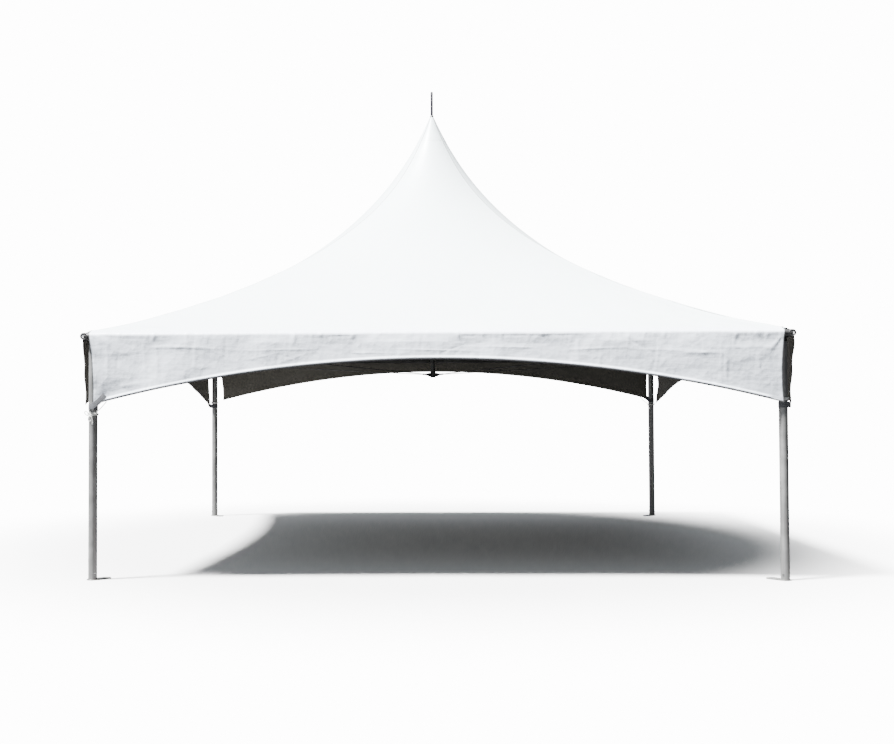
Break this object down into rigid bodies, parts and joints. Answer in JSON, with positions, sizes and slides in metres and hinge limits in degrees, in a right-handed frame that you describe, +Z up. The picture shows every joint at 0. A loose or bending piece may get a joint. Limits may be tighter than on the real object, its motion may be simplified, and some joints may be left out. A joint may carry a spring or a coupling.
{
  "type": "high-peak frame marquee",
  "caption": "Square white high-peak marquee with a valance on each side, carried by four round legs, eave rails, crossed cables and a raised mast.",
  "frame": {"origin": "on the ground at the middle of the square between the legs, under the mast", "axes": "+Z up along the mast, -Y to the front, +X to the right seen from the front"},
  "size_m": [6.1, 6.1, 4.984],
  "materials": {
    "roof_vinyl": "gloss-coated white vinyl",
    "valance_vinyl": "gloss-coated white vinyl, creased",
    "tube_aluminium": "mill finish, dulled",
    "fitting_steel": "welded, dark",
    "plate_steel": "zinc-plated",
    "wire_rope": "stranded, dull",
    "webbing": "woven polyester",
    "rope": "braided polyester"
  },
  "bodies": {
    "root": {"roof_front": "roof_vinyl", "roof_right": "roof_vinyl", "roof_back": "roof_vinyl", "roof_left": "roof_vinyl", "valance_front": "valance_vinyl", "valance_right": "valance_vinyl", "valance_back": "valance_vinyl", "valance_left": "valance_vinyl", "peak_ring": "fitting_steel", "mast_spike": "tube_aluminium", "mast_head": "fitting_steel", "mast_tube": "tube_aluminium", "mast_foot": "fitting_steel", "cable_front_left": "wire_rope", "cable_front_right": "wire_rope", "cable_back_right": "wire_rope", "cable_back_left": "wire_rope", "corner_fitting_front_left": "fitting_steel", "corner_fitting_front_right": "fitting_steel", "corner_fitting_back_right": "fitting_steel", "corner_fitting_back_left": "fitting_steel", "front_rail_left": "tube_aluminium", "front_rail_right": "tube_aluminium", "right_rail_front": "tube_aluminium", "right_rail_back": "tube_aluminium", "back_rail_right": "tube_aluminium", "back_rail_left": "tube_aluminium", "left_rail_back": "tube_aluminium", "left_rail_front": "tube_aluminium", "leg_front_left": "tube_aluminium", "leg_front_right": "tube_aluminium", "leg_back_right": "tube_aluminium", "leg_back_left": "tube_aluminium", "base_plate_front_left": "plate_steel", "base_plate_front_right": "plate_steel", "base_plate_back_right": "plate_steel", "base_plate_back_left": "plate_steel", "corner_strap_front_left": "webbing", "corner_strap_front_right": "webbing", "corner_strap_back_right": "webbing", "corner_strap_back_left": "webbing", "tie_rope_front_left": "rope", "tie_rope_front_right": "rope", "tie_rope_back_right": "rope", "tie_rope_back_left": "rope"}
  },
  "joints": []
}
